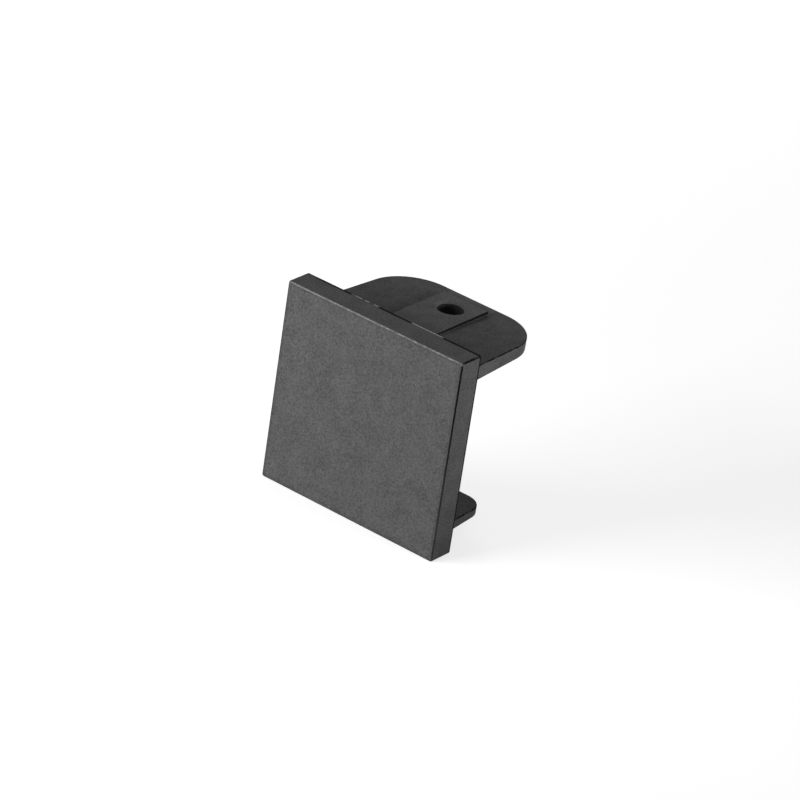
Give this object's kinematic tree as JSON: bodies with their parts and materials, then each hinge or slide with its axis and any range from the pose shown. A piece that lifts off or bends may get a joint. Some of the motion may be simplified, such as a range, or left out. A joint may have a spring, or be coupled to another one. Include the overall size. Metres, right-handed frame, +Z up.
{
  "type": "rail end cap",
  "caption": "Square moulded cover plate for the end of a track rail, with a long tapered tongue behind it that takes a screw on a raised land and a shorter tongue below.",
  "frame": {"origin": "middle of the plate's rear face, which seats on the end of the rail", "axes": "+X across the rail, +Y into the rail along its length, +Z up; the front face looks along -Y"},
  "size_m": [0.036, 0.0274, 0.036],
  "materials": {
    "end_cap": "black plastic, finely spark-eroded on the front and satin on the sides and tongues"
  },
  "bodies": {
    "root": {"end_cap": "end_cap"}
  },
  "joints": []
}
